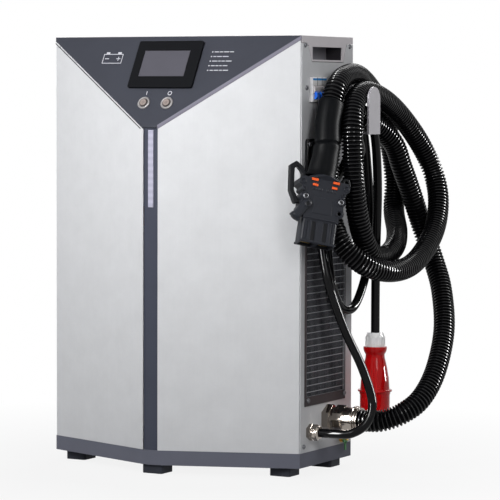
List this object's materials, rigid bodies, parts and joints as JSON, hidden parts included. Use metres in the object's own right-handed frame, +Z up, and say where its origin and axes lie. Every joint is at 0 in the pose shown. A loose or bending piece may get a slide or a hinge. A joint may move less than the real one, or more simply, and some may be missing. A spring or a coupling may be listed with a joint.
{
  "type": "battery charger",
  "caption": "Floor-standing traction battery charger: prow-fronted steel cabinet with a sloping control panel, side hook with coiled DC hose and connector, AC lead with plug.",
  "frame": {"origin": "on the floor, at the centre of the cabinet's plan", "axes": "+Z up, +X to the side with the hook and the cords, -Y to the front with the prow"},
  "size_m": [0.7201, 0.471, 0.8],
  "materials": {
    "panel_paint": "satin silver-grey powder coat",
    "slate_paint": "satin slate-grey powder coat",
    "zinc_steel": "zinc-plated steel",
    "grille_steel": "bright wire",
    "foot_rubber": "matt black rubber",
    "filter_foam": "dark pleated filter mat",
    "light_lens": "clear frosted lens",
    "bezel_black": "black moulding",
    "screen_glass": "grey unlit screen",
    "button_chrome": "polished ring",
    "button_centre": "satin metal cap",
    "breaker_plastic": "light grey moulding",
    "toggle_blue": "blue moulding",
    "hook_paint": "satin grey paint",
    "black_plastic": "black moulding",
    "gland_nickel": "nickel-plated brass",
    "brass": "bare brass and copper",
    "module_alu": "mill-finish casing",
    "board_green": "circuit board",
    "hose_black": "glossy black corrugated conduit",
    "boot_rubber": "smooth black sleeve",
    "cable_rubber": "black cable sheath",
    "connector_grey": "dark grey moulding",
    "key_orange": "orange moulding",
    "nut_white": "white moulding",
    "plug_red": "red moulding",
    "pin_steel": "nickel-plated pins"
  },
  "bodies": {
    "cabinet": {"left_front_panel": "panel_paint", "right_front_panel": "panel_paint", "top_lid": "panel_paint", "right_side_panel": "panel_paint", "left_side_panel": "panel_paint", "rear_panel": "panel_paint", "right_handle_pocket": "panel_paint", "left_handle_pocket": "panel_paint", "base_plinth": "slate_paint", "prow_pillar": "slate_paint", "control_panel": "slate_paint", "foot_bolts": "zinc_steel", "panel_screws": "zinc_steel", "breaker_rail": "zinc_steel", "module_rack": "zinc_steel", "connector_screws": "zinc_steel", "right_vent_grille": "grille_steel", "left_vent_grille": "grille_steel", "rubber_feet": "foot_rubber", "right_filter_mat": "filter_foam", "left_filter_mat": "filter_foam", "led_light_bar": "light_lens", "display_bezel": "bezel_black", "display_screen": "screen_glass", "start_button_bezel": "button_chrome", "stop_button_bezel": "button_chrome", "breaker_body": "breaker_plastic", "cable_hook": "hook_paint", "connector_holster": "black_plastic", "ac_contactor": "black_plastic", "dc_gland_body": "gland_nickel", "dc_gland_nut": "gland_nickel", "ac_gland_body": "gland_nickel", "ac_gland_nut": "gland_nickel", "gland_locknuts": "gland_nickel", "earth_stud": "brass", "connector_contacts": "brass", "dc_output_bus": "brass", "power_module_upper": "module_alu", "power_module_lower": "module_alu", "control_board": "board_green", "dc_hose": "hose_black", "hose_boot": "boot_rubber", "ac_cable": "cable_rubber", "dc_connector_housing": "connector_grey", "connector_handles": "connector_grey", "connector_keys": "key_orange", "plug_nut": "nut_white", "plug_body": "plug_red", "plug_pins": "pin_steel"},
    "start_button": {"start_button_cap": "button_centre"},
    "stop_button": {"stop_button_cap": "button_centre"},
    "breaker_lever": {"breaker_toggle": "toggle_blue"},
    "upper_fan": {"fan_rotor_upper": "black_plastic"},
    "lower_fan": {"fan_rotor_lower": "black_plastic"}
  },
  "joints": [
    {"name": "start_button_press", "type": "slide", "parent": "cabinet", "child": "start_button", "axis": [0, 0.8742, -0.4856], "range_m": [0, 0.003], "stiffness_N_per_m": 600},
    {"name": "stop_button_press", "type": "slide", "parent": "cabinet", "child": "stop_button", "axis": [0, 0.8742, -0.4856], "range_m": [0, 0.003], "stiffness_N_per_m": 600},
    {"name": "breaker_lever_swing", "type": "hinge", "parent": "cabinet", "child": "breaker_lever", "pos_m": [0.2625, 0.001, 0.703], "axis": [0, -1, 0], "range_deg": [0, 66]},
    {"name": "upper_fan_spin", "type": "hinge", "parent": "cabinet", "child": "upper_fan", "pos_m": [0.207, 0.038, 0.355], "axis": [1, 0, 0], "continuous": true},
    {"name": "lower_fan_spin", "type": "hinge", "parent": "cabinet", "child": "lower_fan", "pos_m": [0.207, 0.038, 0.205], "axis": [1, 0, 0], "continuous": true}
  ]
}
